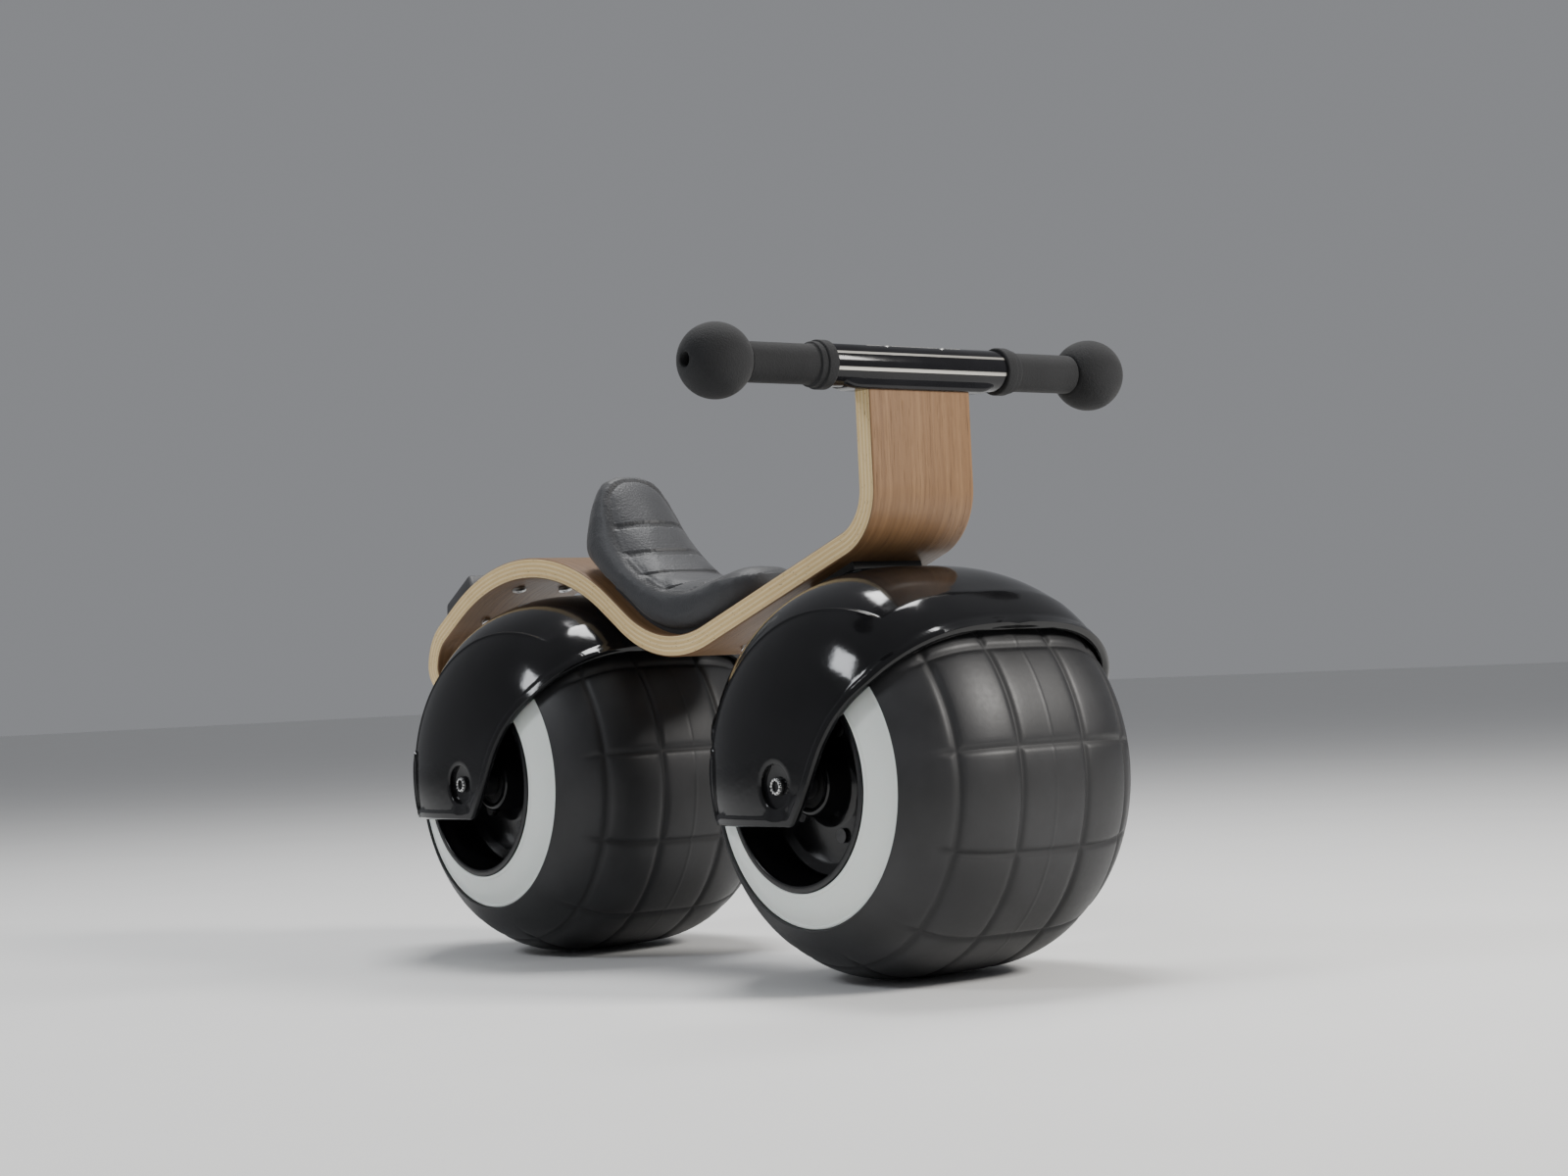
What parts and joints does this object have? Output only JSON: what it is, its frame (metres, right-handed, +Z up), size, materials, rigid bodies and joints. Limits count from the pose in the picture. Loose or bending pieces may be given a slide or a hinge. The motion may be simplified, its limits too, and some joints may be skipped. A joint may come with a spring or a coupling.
{
  "type": "balance bike",
  "caption": "Small child's balance bike: bent plywood spine, padded saddle, fixed bar with foam balls, and balloon-tyred wheels that roll freely under domed hoods.",
  "frame": {"origin": "on the floor, under the middle of the bike's box", "axes": "+X forward in the direction of travel, +Y to the rider's left, +Z up"},
  "size_m": [0.5726, 0.3102, 0.3554],
  "materials": {
    "plywood": "clear-lacquered oak face veneer over pale birch plies",
    "black_gloss": "gloss black lacquer",
    "hood_gloss": "gloss black moulding",
    "hub_gloss": "gloss black moulding",
    "black_plastic": "fine-grained black moulding",
    "packing_rubber": "plain black rubber",
    "foam": "closed-cell foam, matt, skinned",
    "saddle_cover": "charcoal leatherette, satin, stitched",
    "tyre": "satin black rubber with moulded block lines",
    "ring_white": "pale white, satin",
    "steel": "bright turned steel",
    "screw_steel": "zinc plated",
    "valve_brass": "plain turned brass"
  },
  "bodies": {
    "frame": {"plywood_spine": "plywood", "front_hood": "hood_gloss", "rear_hood": "hood_gloss", "front_packing": "packing_rubber", "rear_packing": "packing_rubber", "front_hood_screws": "screw_steel", "rear_hood_screws": "screw_steel", "hump_screws": "screw_steel", "handlebar_tube": "steel", "bar_sleeve": "black_gloss", "bar_screws": "screw_steel", "bar_cross_nuts": "screw_steel", "bar_plugs": "black_plastic", "grip_right": "foam", "grip_left": "foam", "ball_right": "foam", "ball_left": "foam", "saddle_base": "black_plastic", "saddle_pad": "saddle_cover", "saddle_screws": "screw_steel", "saddle_tee_nuts": "screw_steel", "tail_block": "black_plastic", "tail_block_screws": "screw_steel", "front_axle": "steel", "front_axle_bolts": "steel", "front_axle_spacers": "steel", "front_bearing_sleeve": "steel", "rear_axle": "steel", "rear_axle_bolts": "steel", "rear_axle_spacers": "steel", "rear_bearing_sleeve": "steel"},
    "front_wheel": {"front_tyre": "tyre", "front_hub_right": "hub_gloss", "front_hub_left": "hub_gloss", "front_ring_right": "ring_white", "front_ring_left": "ring_white", "front_bearing_right": "steel", "front_bearing_left": "steel", "front_hub_screws": "screw_steel", "front_valve": "valve_brass"},
    "rear_wheel": {"rear_tyre": "tyre", "rear_hub_right": "hub_gloss", "rear_hub_left": "hub_gloss", "rear_ring_right": "ring_white", "rear_ring_left": "ring_white", "rear_bearing_right": "steel", "rear_bearing_left": "steel", "rear_hub_screws": "screw_steel", "rear_valve": "valve_brass"}
  },
  "joints": [
    {"name": "front_wheel_spin", "type": "hinge", "parent": "frame", "child": "front_wheel", "pos_m": [0.17632, 0, 0.11], "axis": [0, 1, 0], "continuous": true},
    {"name": "rear_wheel_spin", "type": "hinge", "parent": "frame", "child": "rear_wheel", "pos_m": [-0.14368, 0, 0.11], "axis": [0, 1, 0], "continuous": true}
  ]
}
